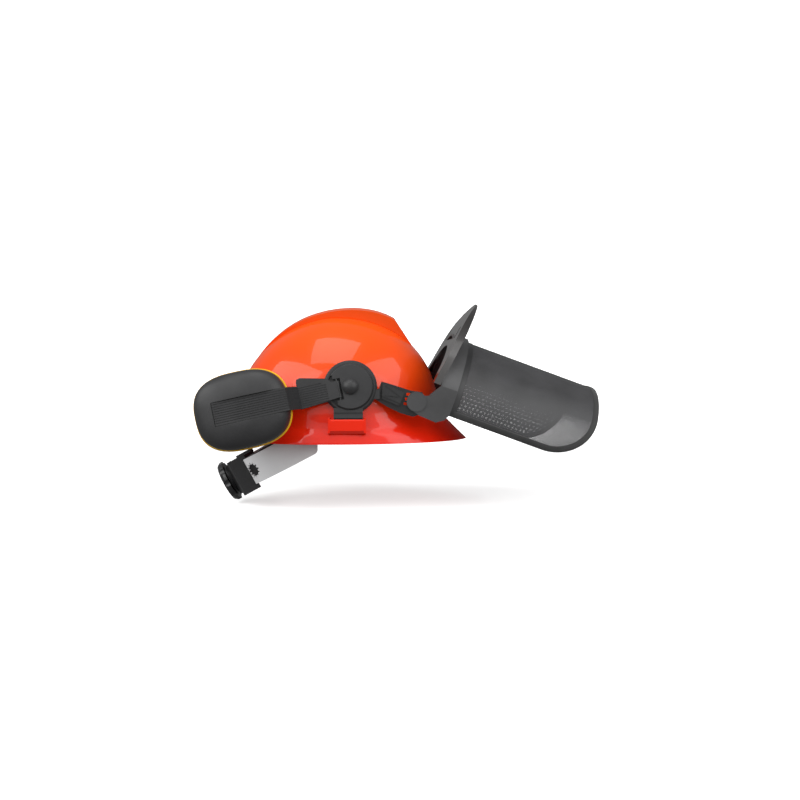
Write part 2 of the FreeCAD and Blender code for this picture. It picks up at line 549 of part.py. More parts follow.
def make_ratchet():
    """Housing that the straps slide in, its inner cover, comfort pad, and the knob with its pinion."""
    half_width, half_height = 41.0, 18.6
    room = block((40, 130), (-half_width, half_width), (-half_height, half_height))
    case = hoop(119, 91, 13.9, -half_height, half_height, 40).common(room)
    channel = oval(NAPE_A + 0.3, NAPE_B + 0.3, -NAPE_HALF - 0.4, NAPE_HALF + 0.4)
    case = case.cut(channel)
    lips = hoop(122, 94, 16.5, -half_height - 3.0, half_height + 3.0, 40).common(
        block((40, 130), (-half_width - 3, half_width + 3), (-30, 30)))
    lips = lips.cut(block((0, 140), (-half_width + 0.5, half_width - 0.5), (-40, 40))).cut(channel)
    shaft_hole = rod(3.7, Vector(90, 0, 0), Vector(130, 0, 0))
    hollow = rod(9.0, Vector(100, 0, 0), Vector(112.5, 0, 0))
    front_cut = oval(NAPE_A - NAPE_T - 0.3, NAPE_B - NAPE_T - 0.3, -40, 40)
    housing = case.fuse(lips).cut(shaft_hole).cut(hollow).cut(front_cut)
    neck = Part.makeCone(21.0, 17.0, 4.0, Vector(112.6, 0, 0), Vector(1, 0, 0)).fuse(
        Part.makeCone(17.0, 18.6, 4.0, Vector(116.6, 0, 0), Vector(1, 0, 0))).cut(shaft_hole)
    keep("ratchet_housing", nape_placed(housing.fuse(neck).removeSplitter()))
    tabs = block((40, 130), (-61, 61), (-11.5, 11.5))
    cover = hoop(NAPE_A - NAPE_T - 0.4, NAPE_B - NAPE_T - 0.4, 1.6, -half_height, half_height, 40)
    cover = cover.common(room.fuse(tabs)).removeSplitter()
    keep("ratchet_cover", nape_placed(cover))
    pad = hoop(NAPE_A - 4.3, NAPE_B - 4.3, 4.5, -15, 15, 10).common(block((0, 130), (-64, 64), (-30, 30)))
    keep("nape_pad", nape_placed(pad))
    knob = Part.makeCylinder(25.0, 3.2, Vector(121.2, 0, 0), Vector(1, 0, 0)).fuse(
        Part.makeCone(25.0, 22.6, 3.6, Vector(124.4, 0, 0), Vector(1, 0, 0)))
    grip_count = 10
    for i in range(grip_count):
        angle = 2 * math.pi * i / grip_count
        y, z = 28.6 * math.cos(angle), 28.6 * math.sin(angle)
        knob = knob.cut(rod(5.6, Vector(120, y, z), Vector(130, y, z)))
    knob = knob.cut(Part.makeCylinder(14.0, 2.4, Vector(125.8, 0, 0), Vector(1, 0, 0)))
    knob = knob.cut(rod(3.4, Vector(120, 0, 0), Vector(124.6, 0, 0)))
    keep("ratchet_knob", nape_placed(knob.removeSplitter()))
    pinion = gear(TOOTH_PITCH_R + 1.1, TOOTH_PITCH_R - 1.5, TEETH, NAPE_A - NAPE_T, NAPE_T)
    shaft = rod(3.4, Vector(108.5, 0, 0), Vector(124.6, 0, 0))
    keep("drive_pinion", nape_placed(pinion.fuse(shaft).removeSplitter()))


def main():
    make_shell()
    make_adapter()
    make_disc()
    make_arm()
    make_cup()
    make_visor_frame()
    make_brow_guard()
    make_mesh()
    make_carriers()
    make_headband()
    make_crown()
    make_nape_straps()
    make_ratchet()
    os.makedirs("parts", exist_ok=True)
    for name, shape in sorted(PARTS.items()):
        shape.exportStep("parts/" + name + ".step")
        print(f"{name}: {len(shape.Solids)} solid(s), {shape.Volume / 1000:.2f} cm3, valid {shape.isValid()}")


main()
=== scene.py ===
"""Forestry hard hat: the looks of the shell, muffs, mesh visor and harness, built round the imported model."""
import json
import math

import bmesh
import bpy
import numpy as np
from mathutils import Matrix, Vector


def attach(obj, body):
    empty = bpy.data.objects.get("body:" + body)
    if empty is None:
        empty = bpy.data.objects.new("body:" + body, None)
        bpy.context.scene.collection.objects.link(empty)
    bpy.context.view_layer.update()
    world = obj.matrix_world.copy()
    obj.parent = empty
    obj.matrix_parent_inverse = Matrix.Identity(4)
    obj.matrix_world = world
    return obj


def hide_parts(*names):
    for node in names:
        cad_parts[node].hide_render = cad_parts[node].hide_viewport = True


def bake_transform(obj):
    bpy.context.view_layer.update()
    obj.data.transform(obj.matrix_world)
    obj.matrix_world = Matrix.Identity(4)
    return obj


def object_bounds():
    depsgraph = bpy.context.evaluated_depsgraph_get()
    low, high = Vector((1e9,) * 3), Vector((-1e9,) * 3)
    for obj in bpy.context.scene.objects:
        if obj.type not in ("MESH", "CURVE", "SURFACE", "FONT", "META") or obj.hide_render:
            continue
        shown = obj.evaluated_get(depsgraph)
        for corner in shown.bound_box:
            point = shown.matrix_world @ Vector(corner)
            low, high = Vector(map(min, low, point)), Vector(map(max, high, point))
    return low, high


MM = 0.001

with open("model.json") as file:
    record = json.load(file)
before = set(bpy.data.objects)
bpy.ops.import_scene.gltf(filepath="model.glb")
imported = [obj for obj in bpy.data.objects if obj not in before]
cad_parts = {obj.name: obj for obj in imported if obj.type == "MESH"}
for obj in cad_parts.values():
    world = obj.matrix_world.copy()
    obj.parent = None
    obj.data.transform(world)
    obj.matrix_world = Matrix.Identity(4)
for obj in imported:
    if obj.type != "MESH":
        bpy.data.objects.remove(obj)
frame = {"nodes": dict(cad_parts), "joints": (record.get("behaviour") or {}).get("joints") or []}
cad_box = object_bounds()
nodes = frame["nodes"]
joints = {joint["name"]: joint for joint in frame["joints"]}


# ---- mesh helpers --------------------------------------------------------------------------------
def new_object(name, verts, faces, smooth_angle=40.0):
    """A linked mesh object with doubled points merged and its normals outward."""
    mesh = bpy.data.meshes.new(name)
    mesh.from_pydata([tuple(v) for v in verts], [], [tuple(int(i) for i in f) for f in faces])
    mesh.validate()
    mesh.update()
    tidy = bmesh.new()
    tidy.from_mesh(mesh)
    bmesh.ops.remove_doubles(tidy, verts=tidy.verts, dist=1e-6)
    bmesh.ops.recalc_face_normals(tidy, faces=tidy.faces)
    tidy.to_mesh(mesh)
    tidy.free()
    obj = bpy.data.objects.new(name, mesh)
    bpy.context.scene.collection.objects.link(obj)
    shade(obj, smooth_angle)
    return obj


def shade(obj, angle):
    """Smooth shading, broken at edges sharper than angle."""
    mesh = obj.data
    mesh.polygons.foreach_set("use_smooth", [True] * len(mesh.polygons))
    edges = bmesh.new()
    edges.from_mesh(mesh)
    limit = math.radians(angle)
    sharp = [e.is_manifold and e.calc_face_angle(0.0) > limit for e in edges.edges]
    edges.free()
    mesh.edges.foreach_set("use_edge_sharp", sharp)


def grid_faces(rows, cols, close_rows=False, close_cols=False, start=0):
    """Quads of a grid of rows x cols points, numbered row by row from start."""
    faces = []
    for i in range(rows if close_rows else rows - 1):
        for j in range(cols if close_cols else cols - 1):
            a, b = i * cols + j, i * cols + (j + 1) % cols
            c, d = ((i + 1) % rows) * cols + (j + 1) % cols, ((i + 1) % rows) * cols + j
            faces.append((start + a, start + b, start + c, start + d))
    return faces


def grid_object(name, points, close_rows=False, close_cols=False, caps=False, smooth_angle=40.0):
    """Surface through a (rows, cols, 3) array of points; caps closes its first and last rows."""
    rows, cols = points.shape[:2]
    faces = grid_faces(rows, cols, close_rows, close_cols)
    if caps:
        faces.append(tuple(range(cols))[::-1])
        faces.append(tuple(range((rows - 1) * cols, rows * cols)))
    return new_object(name, points.reshape(-1, 3), faces, smooth_angle)


def sweep(path, across, normal, section):
    """Points of a section carried along a path: section is (width, height) pairs along across and normal."""
    section = np.asarray(section, float)
    return (path[:, None, :] + across[:, None, :] * section[None, :, 0, None]
            + normal[:, None, :] * section[None, :, 1, None])


def unit(v):
    """v, or each row of it, at length 1."""
    return v / np.linalg.norm(v, axis=-1, keepdims=True)


def rounded_section(width, height, corner, steps=4):
    """Closed rounded rectangle, centred."""
    points = []
    for cx, cy, first in ((1, 1, 0), (-1, 1, 90), (-1, -1, 180), (1, -1, 270)):
        for k in range(steps + 1):
            a = math.radians(first + 90 * k / steps)
            points.append((cx * (width / 2 - corner) + corner * math.cos(a),
                           cy * (height / 2 - corner) + corner * math.sin(a)))
    return points


def crowned_section(width, height, power=2.6, steps=28):
    """Closed pillow section, full in the middle and drawn in at its seams."""
    points = []
    for k in range(steps):
        a = 2 * math.pi * k / steps
        c, s = math.cos(a), math.sin(a)
        points.append((math.copysign(abs(c) ** (2 / power), c) * width / 2,
                       math.copysign(abs(s) ** (2 / power), s) * height / 2))
    return points


def mirrored_copy(obj, name):
    """A copy on the wearer's left of a piece made on the right."""
    copy = obj.copy()
    copy.data = obj.data.copy()
    copy.name = copy.data.name = name
    copy.data.transform(Matrix.Diagonal((1, -1, 1, 1)))
    copy.data.flip_normals()
    bpy.context.scene.collection.objects.link(copy)
    return copy


def add_bevel(obj, width, segments=2, angle=35.0):
    """Rounds the edges that are sharper than angle."""
    bevel = obj.modifiers.new("edges", "BEVEL")
    bevel.width, bevel.segments = width, segments
    bevel.limit_method, bevel.angle_limit = "ANGLE", math.radians(angle)


# ---- materials -----------------------------------------------------------------------------------
class Shader:
    """Small builder round one Principled material."""

    def __init__(self, name, rough, metallic=0.0, coat=0.0, coat_rough=0.05, specular=0.5, sheen=0.0):
        self.material = bpy.data.materials.new(name)
        self.material.use_nodes = True
        self.tree = self.material.node_tree
        self.main = self.tree.nodes["Principled BSDF"]
        values = {"Roughness": rough, "Metallic": metallic, "Coat Weight": coat, "Coat Roughness": coat_rough,
                  "Specular IOR Level": specular, "Sheen Weight": sheen}
        for socket, value in values.items():
            self.main.inputs[socket].default_value = value
        self.coords = self.node("ShaderNodeTexCoord").outputs["Object"]

    def node(self, kind, **values):
        made = self.tree.nodes.new(kind)
        for key, value in values.items():
            setattr(made, key, value)
        return made

    def link(self, source, target):
        self.tree.links.new(source, target)

    def noise(self, scale, detail=4.0, roughness=0.55, stretch=None):
        texture = self.node("ShaderNodeTexNoise")
        texture.inputs["Scale"].default_value = scale
        texture.inputs["Detail"].default_value = detail
        texture.inputs["Roughness"].default_value = roughness
        coords = self.coords
        if stretch:
            mapping = self.node("ShaderNodeMapping")
            mapping.inputs["Scale"].default_value = stretch
            self.link(coords, mapping.inputs["Vector"])
            coords = mapping.outputs["Vector"]
        self.link(coords, texture.inputs["Vector"])
        return texture.outputs["Fac"]

    def height(self, low, high, wander):
        """0 at the height low and 1 at high, made uneven by a slow noise that shifts it by up to wander."""
        parts = self.node("ShaderNodeSeparateXYZ")
        self.link(self.coords, parts.inputs["Vector"])
        shift = self.node("ShaderNodeMath", operation="MULTIPLY_ADD")
        self.link(self.noise(9.0), shift.inputs[0])
        shift.inputs[1].default_value = wander
        self.link(parts.outputs["Z"], shift.inputs[2])
        spread = self.node("ShaderNodeMapRange")
        spread.inputs["From Min"].default_value, spread.inputs["From Max"].default_value = low, high
        self.link(shift.outputs["Value"], spread.inputs["Value"])
        return spread.outputs["Result"]

    def ramp(self, source, stops):
        ramp = self.node("ShaderNodeValToRGB")
        elements = ramp.color_ramp.elements
        while len(elements) < len(stops):
            elements.new(0.5)
        for element, (place, colour) in zip(elements, stops):
            element.position = place
            element.color = (*colour, 1.0) if isinstance(colour, tuple) else (colour, colour, colour, 1.0)
        self.link(source, ramp.inputs["Fac"])
        return ramp.outputs["Color"]

    def colour(self, source):
        self.link(source, self.main.inputs["Base Color"])

    def roughness(self, source, low, high):
        spread = self.node("ShaderNodeMapRange")
        spread.inputs["To Min"].default_value, spread.inputs["To Max"].default_value = low, high
        self.link(source, spread.inputs["Value"])
        self.link(spread.outputs["Result"], self.main.inputs["Roughness"])

    def bump(self, source, distance, strength=1.0):
        bump = self.node("ShaderNodeBump")
        bump.inputs["Strength"].default_value = strength
        bump.inputs["Distance"].default_value = distance
        self.link(source, bump.inputs["Height"])
        previous = self.main.inputs["Normal"]
        if previous.links:
            self.link(previous.links[0].from_socket, bump.inputs["Normal"])
        self.link(bump.outputs["Normal"], previous)


def varied(shader, dark, light, scale):
    """Base colour that wanders between two tones."""
    shader.colour(shader.ramp(shader.noise(scale), [(0.3, dark), (0.7, light)]))


def make_materials():
    """Every finish by its short name."""
    made = {}

    shell = Shader("shell_orange", rough=0.3, coat=0.55, coat_rough=0.035, specular=0.12)
    # Base colour runs deep red low on the shell and lighter orange high up: painted shade on the skirt and rim,
    # painted light on the crown.
    shell.colour(shell.ramp(shell.height(-0.005, 0.155, 0.012), [
        (0.0, (0.80, 0.013, 0.003)), (0.25, (0.84, 0.022, 0.003)), (0.55, (0.85, 0.062, 0.004)),
        (1.0, (0.84, 0.092, 0.005))]))
    shell.roughness(shell.noise(60.0), 0.26, 0.36)
    shell.bump(shell.noise(420.0, 2.0), 0.00002, 0.5)
    made["shell"] = shell.material

    dark = Shader("dark_plastic", rough=0.5, specular=0.4)
    varied(dark, (0.021, 0.021, 0.022), (0.032, 0.032, 0.033), 30.0)
    dark.roughness(dark.noise(90.0), 0.38, 0.54)
    dark.bump(dark.noise(1500.0, 3.0), 0.00006, 0.7)
    made["dark"] = dark.material

    black = Shader("black_plastic", rough=0.38, specular=0.5)
    varied(black, (0.012, 0.012, 0.013), (0.020, 0.020, 0.021), 25.0)
    black.roughness(black.noise(70.0), 0.30, 0.46)
    black.bump(black.noise(900.0, 3.0), 0.00003, 0.6)
    made["black"] = black.material

    guard = Shader("guard_black", rough=0.3, coat=0.6, coat_rough=0.10, specular=0.5)
    varied(guard, (0.014, 0.013, 0.013), (0.026, 0.023, 0.022), 14.0)
    guard.roughness(guard.noise(40.0), 0.26, 0.38)
    guard.bump(guard.noise(260.0, 2.0), 0.00003, 0.4)
    made["guard"] = guard.material

    grey = Shader("grey_strap", rough=0.45, specular=0.4)
    varied(grey, (0.76, 0.76, 0.77), (0.84, 0.84, 0.85), 22.0)
    grey.roughness(grey.noise(55.0), 0.38, 0.54)
    grey.bump(grey.noise(700.0, 3.0), 0.00003, 0.6)
    made["grey"] = grey.material

    yellow = Shader("yellow_plate", rough=0.4, specular=0.45)
    varied(yellow, (0.78, 0.42, 0.004), (0.90, 0.52, 0.010), 20.0)
    yellow.roughness(yellow.noise(60.0), 0.34, 0.50)
    yellow.bump(yellow.noise(800.0, 3.0), 0.00003, 0.5)
    made["yellow"] = yellow.material

    skin = Shader("cushion_skin", rough=0.5, specular=0.4, sheen=0.1)
    varied(skin, (0.014, 0.014, 0.015), (0.026, 0.026, 0.028), 35.0)
    skin.bump(skin.noise(55.0, 5.0, 0.7), 0.0005, 0.5)
    skin.bump(skin.noise(1300.0, 2.0), 0.00005, 0.6)
    made["skin"] = skin.material

    foam = Shader("foam", rough=0.95, specular=0.2, sheen=0.15)
    varied(foam, (0.012, 0.012, 0.013), (0.040, 0.040, 0.042), 700.0)
    foam.bump(foam.noise(700.0, 3.0), 0.0008, 0.9)
    made["foam"] = foam.material

    webbing = Shader("webbing", rough=0.8, specular=0.3, sheen=0.3)
    varied(webbing, (0.018, 0.018, 0.020), (0.034, 0.034, 0.037), 60.0)
    weave = webbing.node("ShaderNodeTexWave", wave_type="BANDS", bands_direction="Z")
    weave.inputs["Scale"].default_value = 260.0
    webbing.link(webbing.coords, weave.inputs["Vector"])
    webbing.bump(weave.outputs["Fac"], 0.0003, 0.8)
    webbing.bump(webbing.noise(1800.0, 2.0), 0.0001, 0.6)
    made["webbing"] = webbing.material

    towel = Shader("towel_pad", rough=0.95, specular=0.2, sheen=0.5)
    varied(towel, (0.016, 0.016, 0.018), (0.036, 0.036, 0.040), 120.0)
    towel.bump(towel.noise(950.0, 4.0, 0.7), 0.0006, 0.9)
    made["towel"] = towel.material

    wire = Shader("mesh_wire", rough=0.42, specular=0.5)
    varied(wire, (0.040, 0.040, 0.042), (0.056, 0.056, 0.059), 40.0)
    wire.roughness(wire.noise(80.0), 0.36, 0.55)
    made["wire"] = wire.material

    binding = Shader("binding", rough=0.62, specular=0.4, sheen=0.15)
    varied(binding, (0.013, 0.013, 0.013), (0.022, 0.022, 0.022), 50.0)
    binding.bump(binding.noise(1100.0, 3.0, 0.6), 0.00018, 0.8)
    made["binding"] = binding.material

    frame_grey = Shader("visor_frame", rough=0.36, specular=0.5)
    varied(frame_grey, (0.046, 0.046, 0.047), (0.064, 0.064, 0.066), 26.0)
    frame_grey.roughness(frame_grey.noise(60.0), 0.30, 0.44)
    frame_grey.bump(frame_grey.noise(900.0, 3.0), 0.00004, 0.6)
    made["frame"] = frame_grey.material

    steel = Shader("steel", rough=0.3, metallic=1.0)
    varied(steel, (0.45, 0.45, 0.46), (0.58, 0.58, 0.59), 80.0)
    steel.bump(steel.noise(300.0, 3.0, 0.5, (1.0, 1.0, 12.0)), 0.00003, 0.5)
    made["steel"] = steel.material
    return made


MATERIALS = make_materials()


def finish_piece(obj, body, material, slot, *replaced):
    """Gives a made piece its finish and its body, and hides the CAD nodes that it stands for; slot is not used.
    """
    obj.data.materials.clear()
    obj.data.materials.append(MATERIALS[material])
    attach(obj, body)
    if replaced:
        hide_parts(*replaced)


# ---- frames of the moving parts ------------------------------------------------------------------
def muff_frame():
    """Right muff: columns along the arm, across it and out of the disc, from the swing joint."""
    out = np.array(joints["muff_swing_right"]["axis"], float)
    along = np.array(joints["cup_slide_right"]["axis"], float)
    across = np.cross(out, along)
    return np.array(joints["muff_swing_right"]["pos_m"], float), along, across, out


def muff_points(u, v, w):
    """World points of muff coordinates given in millimetres."""
    centre, along, across, out = muff_frame()
    return (centre + np.multiply.outer(u, along) * MM + np.multiply.outer(v, across) * MM
            + np.multiply.outer(w, out) * MM)


RAISED = math.radians(70.0)     # the visor is stored raised by this much
HINGE = np.array(joints["visor_lift"]["pos_m"], float)


def visor_points(x, y, z):
    """World points of worn-visor coordinates in millimetres, with the origin on the hinge line."""
    c, s = math.cos(RAISED), math.sin(RAISED)
    return np.stack([HINGE[0] + (x * c - z * s) * MM, y * MM, HINGE[2] + (x * s + z * c) * MM], axis=-1)


# ---- CAD pieces that keep their shape ------------------------------------------------------------
# CAD node: its finish, and the width in millimetres that its edges are rounded by.
KEPT = {
    "headband": ("grey", 0.4), "headband_clips": ("black", 0.3), "harness_keys": ("black", 0.4),
    "strap_studs": ("steel", 0.2),
    "ratchet_housing": ("black", 0.5), "ratchet_cover": ("black", 0.3), "ratchet_knob": ("black", 0.6),
    "drive_pinion": ("black", 0.2), "visor_frame": ("frame", 0.5), "brow_guard": ("guard", 0.5),
    "mesh_header": ("black", 0.3), "mesh_studs": ("black", 0.3), "shell": ("shell", 0.4),
}
KEPT_PAIRS = {
    "muff_adapter": ("dark", 0.4), "pivot_cap": ("dark", 0.0), "visor_carrier": ("black", 0.4),
    "carrier_clip": ("dark", 0.35), "hinge_pin": ("black", 0.3), "hinge_washer": ("black", 0.1),
    "muff_disc": ("dark", 0.4), "arm_hinge_pin": ("black", 0.2), "click_leaf": ("black", 0.1),
    "muff_arm": ("dark", 0.15), "arm_plate": ("dark", 0.3), "cup_shell": ("dark", 0.5),
    "seal_plate": ("yellow", 0.4),
}


def dress_cad_nodes():
    """Finishes and rounded edges for the CAD pieces that show as they are."""
    looks = dict(KEPT)
    for name, look in KEPT_PAIRS.items():
        looks[name + "_right"] = looks[name + "_left"] = look
    for name, (material, bevel) in looks.items():
        obj = nodes[name]
        for slot in obj.material_slots:
            slot.material = MATERIALS[material]
        if bevel:
            add_bevel(obj, bevel * MM)


# ---- visor mesh ----------------------------------------------------------------------------------
MESH_A, MESH_B = 87.4, 99.9             # the mesh's half ellipse behind the band
MESH_BACK, MESH_TOP = -3.0, -30.0       # its rear edge and its top, worn
MESH_LOW = -204.5                       # chin edge
CORNER = 54.0                           # radius of its two lower corners
PITCH, WIRE = 0.9, 0.51                 # between wires, and a wire's width
BINDING_WIDTH, BINDING_THICK = 7.0, 2.4
BINDING_TOP = -44.0                     # the binding's ends, under the band
MESH_INSET = 3.0                        # how far inside the binding's edge the wires end


WIRE_CORNERS = ((-1, -1), (1, -1), (1, 1), (-1, 1))


def low_edge(x, inset):
    """Height of the mesh's outline at x: round the corner, then along the chin edge."""
    radius = CORNER - inset
    reach = np.clip(MESH_BACK + CORNER - x, 0, radius)
    return MESH_LOW + CORNER - np.sqrt(np.maximum(radius ** 2 - reach ** 2, 0.0))


def arc_table(count=2000):
    """Angles and arc lengths along the half ellipse, from the right rear edge to the left one."""
    limit = math.acos(MESH_BACK / MESH_A)
    angle = np.linspace(-limit, limit, count)
    steps = np.hypot(MESH_A * np.diff(np.cos(angle)), MESH_B * np.diff(np.sin(angle)))
    return angle, np.concatenate([[0], np.cumsum(steps)])


def make_mesh():
    """Square screen: straight wires down the visor, and bent wires that follow it round."""
    angle, length = arc_table()
    verts, faces = [], []
    half = WIRE / 2
    for place in np.arange(PITCH, length[-1] - PITCH / 2, PITCH):
        a = np.interp(place, length, angle)
        x, y = MESH_A * math.cos(a), MESH_B * math.sin(a)
        normal = unit(np.array([math.cos(a) / MESH_A, math.sin(a) / MESH_B]))
        bottom = float(low_edge(np.array(x), MESH_INSET))
        first = len(verts)
        for z in (MESH_TOP, bottom):
            for s, n in WIRE_CORNERS:
                verts.append((x + (-normal[1] * s + normal[0] * n) * half,
                              y + (normal[0] * s + normal[1] * n) * half, z))
        faces += [(first + i, first + (i + 1) % 4, first + 4 + (i + 1) % 4, first + 4 + i) for i in range(4)]
        faces += [tuple(first + i for i in (3, 2, 1, 0)), tuple(first + i for i in (4, 5, 6, 7))]
    for z in np.arange(MESH_LOW + 3.5, MESH_TOP, PITCH):
        reach = CORNER ** 2 - (MESH_LOW + CORNER - z) ** 2 if z < MESH_LOW + CORNER else CORNER ** 2
        x_min = MESH_BACK + CORNER - math.sqrt(max(reach, 0.0)) + MESH_INSET
        limit = math.acos(min(1.0, x_min / MESH_A))
        a = np.linspace(-limit, limit, 120)
        x, y = MESH_A * np.cos(a), MESH_B * np.sin(a)
        normal = unit(np.stack([np.cos(a) / MESH_A, np.sin(a) / MESH_B], axis=-1))
        first = len(verts)
        for k in range(len(a)):
            for n, h in WIRE_CORNERS:
                verts.append((x[k] + normal[k, 0] * n * half, y[k] + normal[k, 1] * n * half, z + h * half))
        faces += grid_faces(len(a), 4, close_cols=True, start=first)
        faces += [tuple(first + i for i in (3, 2, 1, 0)), tuple(first + 4 * (len(a) - 1) + i for i in range(4))]
    verts = np.array(verts)
    screen = new_object("visor_screen", visor_points(verts[:, 0], verts[:, 1], verts[:, 2]), faces, 30.0)
    finish_piece(screen, "visor", "wire", "mesh_wire", "visor_mesh")


def binding_path():
    """The binding's centre line in worn coordinates, from the right header end round to the left one."""
    inset = BINDING_WIDTH / 2
    radius = CORNER - inset
    side = np.linspace(BINDING_TOP, MESH_LOW + CORNER, 40)
    xs, zs = [np.full(40, MESH_BACK + inset)], [side]
    turn = np.linspace(0, math.pi / 2, 30)[1:]
    xs.append(MESH_BACK + CORNER - radius * np.cos(turn))
    zs.append(MESH_LOW + CORNER - radius * np.sin(turn))
    x_side, z_side = np.concatenate(xs), np.concatenate(zs)
    a_side = -np.arccos(x_side / MESH_A)
    chin = np.linspace(a_side[-1], -a_side[-1], 120)[1:-1]
    angle = np.concatenate([a_side, chin, -a_side[::-1]])
    z = np.concatenate([z_side, np.full(len(chin), MESH_LOW + inset), z_side[::-1]])
    return angle, z


def make_binding():
    """Folded strip that grips the screen's sides and chin edge."""
    angle, z = binding_path()
    flat = np.stack([MESH_A * np.cos(angle), MESH_B * np.sin(angle), z], axis=-1)
    normal = unit(np.stack([np.cos(angle) / MESH_A, np.sin(angle) / MESH_B, np.zeros(len(z))], axis=-1))
    tangent = unit(np.gradient(flat, axis=0))
    across = unit(np.cross(normal, tangent))
    points = sweep(flat, across, normal, rounded_section(BINDING_WIDTH, BINDING_THICK, 1.0, 3))
    world = visor_points(points[..., 0], points[..., 1], points[..., 2])
    binding = grid_object("visor_binding", world, close_cols=True, caps=True, smooth_angle=60)
    finish_piece(binding, "visor", "binding", "binding_grey", "mesh_binding")


# ---- muffs' soft parts ---------------------------------------------------------------------------
CUP_U, CUP_LONG, CUP_WIDE, CUP_POWER = 118.5, 103.0, 84.0, 2.7


def cup_outline(scale, count=160):
    """The cup's rounded oval, at a share of its full size."""
    a = np.linspace(0, 2 * math.pi, count, endpoint=False)
    c, s = np.cos(a), np.sin(a)
    u = CUP_U + np.sign(c) * np.abs(c) ** (2 / CUP_POWER) * CUP_LONG / 2 * scale
    v = np.sign(s) * np.abs(s) ** (2 / CUP_POWER) * CUP_WIDE / 2 * scale
    return u, v


def make_cushion():
    """Foam-filled ring with a seam round its waist, thicker towards the head."""
    mid_w, half_w, rows = 7.1, 5.6, []
    steps = 40
    for k in range(steps):
        a = 2 * math.pi * k / steps
        c, s = math.cos(a), math.sin(a)
        radial = 0.755 + 0.195 * math.copysign(abs(c) ** 0.8, c)
        seam = 0.012 * math.exp(-((a - 0.25) / 0.07) ** 2)
        w = mid_w - half_w * math.copysign(abs(s) ** 0.75, s)
        u, v = cup_outline(radial - seam)
        rows.append(muff_points(u, v, np.full(len(u), w)))
    cushion = grid_object("cushion_right", np.array(rows), close_rows=True, close_cols=True, smooth_angle=80)
    left = mirrored_copy(cushion, "cushion_left")
    for obj, side in ((cushion, "right"), (left, "left")):
        finish_piece(obj, "cup_" + side, "skin", "cushion_black", "ear_cushion_" + side)


def make_liner():
    """Dished open foam that lines the cup."""
    rows = []
    for scale, w in ((0.02, 20.2), (0.3, 20.0), (0.42, 19.0), (0.5, 17.6), (0.62, 17.4), (0.85, 17.4),
                     (0.89, 18.0), (0.9, 20.0), (0.89, 22.6), (0.6, 23.0), (0.02, 23.0)):
        u, v = cup_outline(scale)
        rows.append(muff_points(u, v, np.full(len(u), w)))
    liner = grid_object("liner_right", np.array(rows), close_cols=True, caps=True, smooth_angle=80)
    left = mirrored_copy(liner, "liner_left")
    for obj, side in ((liner, "right"), (left, "left")):
        finish_piece(obj, "cup_" + side, "foam", "foam_black", "foam_liner_" + side)


# ---- harness -------------------------------------------------------------------------------------
BAND_FRONT, BAND_SIDE = 95.0, 78.0
NAPE_A, NAPE_B = 109.0, 79.3
KNOB_BACK = 100.0                       # from the nape piece's origin to the knob


PAD_STEPS = 120


def end_taper():
    """Share of a pad's thickness along its length: full but for its two ends."""
    step = np.arange(PAD_STEPS)
    return np.minimum(1, np.minimum(step, step[::-1]) / 7.0 + 0.25) ** 0.5


def hoop_path(a, b, limit, count):
    """Points and outward normals of an ellipse's arc, limit to each side of its far end."""
    angle = np.linspace(-limit, limit, count)
    path = np.stack([a * np.cos(angle), b * np.sin(angle), np.zeros(count)], axis=-1)
    normal = unit(np.stack([np.cos(angle) / a, np.sin(angle) / b, np.zeros(count)], axis=-1))
    return path, normal


def make_brow_pad():
    """Sweatband: a padded strip inside the headband's front."""
    a, b = BAND_FRONT - 4.4, BAND_SIDE - 4.4
    path, normal = hoop_path(a, b, math.acos(32 / a), PAD_STEPS)
    path[:, 2] = 19.5
    taper = end_taper()[:, None, None]
    section = np.array(crowned_section(28.0, 4.4))
    rise = np.array([0.0, 0.0, 1.0]) * section[None, :, 0, None] * (0.85 + 0.15 * taper)
    points = path[:, None, :] + rise + normal[:, None, :] * section[None, :, 1, None] * taper
    pad = grid_object("sweatband", points * MM, close_cols=True, caps=True, smooth_angle=80)
    finish_piece(pad, "hat", "towel", "towel_pad", "brow_pad")


def nape_axes():
    """Origin in the hat, and the directions back, to the right and up of the nape piece."""
    back = np.array(joints["nape_slide"]["axis"], float)
    side = np.array([0.0, -1.0, 0.0])
    up = np.cross(back, side)
    start = np.array(joints["knob_turn"]["pos_m"], float) - back * KNOB_BACK * MM
    return start, back, side, up


def nape_points(points):
    """World points of nape coordinates given in millimetres."""
    start, back, side, up = nape_axes()
    return start + (points[..., 0:1] * back + points[..., 1:2] * side + points[..., 2:3] * up) * MM


def make_nape_pad():
    """Padded strip inside the ratchet's cover."""
    a, b = NAPE_A - 6.6, NAPE_B - 6.6
    path, normal = hoop_path(a, b, math.asin(63.0 / b), PAD_STEPS)
    section = np.array(crowned_section(29.0, 4.4))
    rise = np.array([0.0, 0.0, 1.0]) * section[None, :, 0, None]
    taper = end_taper()[:, None, None]
    points = path[:, None, :] + rise + normal[:, None, :] * section[None, :, 1, None] * taper
    pad = grid_object("nape_cushion", nape_points(points), close_cols=True, caps=True, smooth_angle=80)
    finish_piece(pad, "nape", "towel", "towel_pad", "nape_pad")


def make_nape_straps():
    """Grey copies of the nape straps with rounded edges, standing in place of their CAD nodes."""
    for side in ("right", "left"):
        node = "nape_strap_" + side
        strap = bpy.data.objects.new("band_" + side, nodes[node].data.copy())
        bpy.context.scene.collection.objects.link(strap)
        strap.data.materials.clear()
        strap.data.materials.append(MATERIALS["grey"])
        add_bevel(strap, 0.25 * MM)
        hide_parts(node)
        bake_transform(strap)


